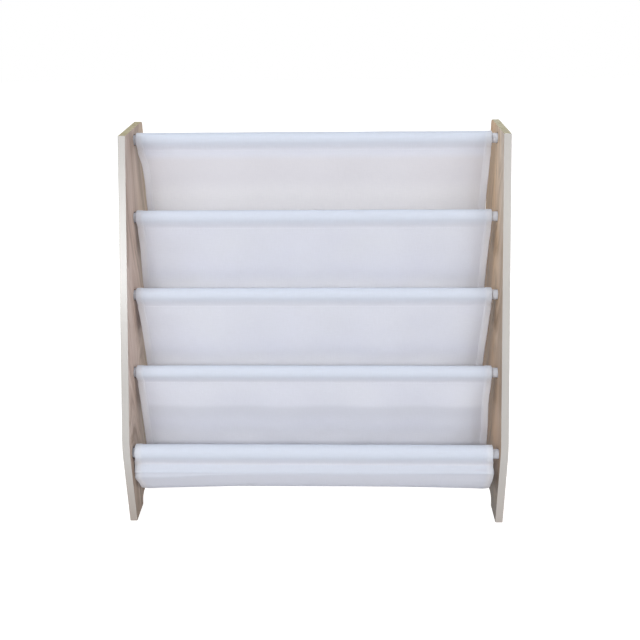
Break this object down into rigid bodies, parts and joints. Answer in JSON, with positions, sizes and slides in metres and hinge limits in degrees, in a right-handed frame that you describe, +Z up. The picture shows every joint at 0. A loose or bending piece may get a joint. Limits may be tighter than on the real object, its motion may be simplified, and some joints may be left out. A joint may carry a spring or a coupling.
{
  "type": "sling bookshelf",
  "caption": "Low children's bookshelf: board sides with sloping fronts, round rods and a canvas sling hung between them as pockets for picture books.",
  "frame": {"origin": "on the floor, under the middle of the bookshelf", "axes": "+X towards the right side seen from the front, +Y from the front to the back, +Z up"},
  "size_m": [0.62, 0.3, 0.608],
  "materials": {
    "board": "wood grain, satin",
    "edge_band": "pale, satin",
    "rod": "white paint, semi-gloss",
    "insert": "moulded",
    "screw": "zinc plated",
    "canvas": "plain weave, white"
  },
  "bodies": {
    "root": {"side_panel_left": "board", "side_panel_right": "board", "front_edge_band_left": "edge_band", "front_edge_band_right": "edge_band", "rod_1": "rod", "rod_2": "rod", "rod_3": "rod", "rod_4": "rod", "rod_5": "rod", "rod_insert_left_1": "insert", "rod_insert_left_2": "insert", "rod_insert_left_3": "insert", "rod_insert_left_4": "insert", "rod_insert_left_5": "insert", "rod_insert_right_1": "insert", "rod_insert_right_2": "insert", "rod_insert_right_3": "insert", "rod_insert_right_4": "insert", "rod_insert_right_5": "insert", "screw_left_1": "screw", "screw_left_2": "screw", "screw_left_3": "screw", "screw_left_4": "screw", "screw_left_5": "screw", "screw_right_1": "screw", "screw_right_2": "screw", "screw_right_3": "screw", "screw_right_4": "screw", "screw_right_5": "screw", "sling_sleeve_1": "canvas", "sling_sleeve_2": "canvas", "sling_sleeve_3": "canvas", "sling_sleeve_4": "canvas", "sling_sleeve_5": "canvas", "sling_pocket_1": "canvas", "sling_pocket_2": "canvas", "sling_pocket_3": "canvas", "sling_pocket_4": "canvas"}
  },
  "joints": []
}
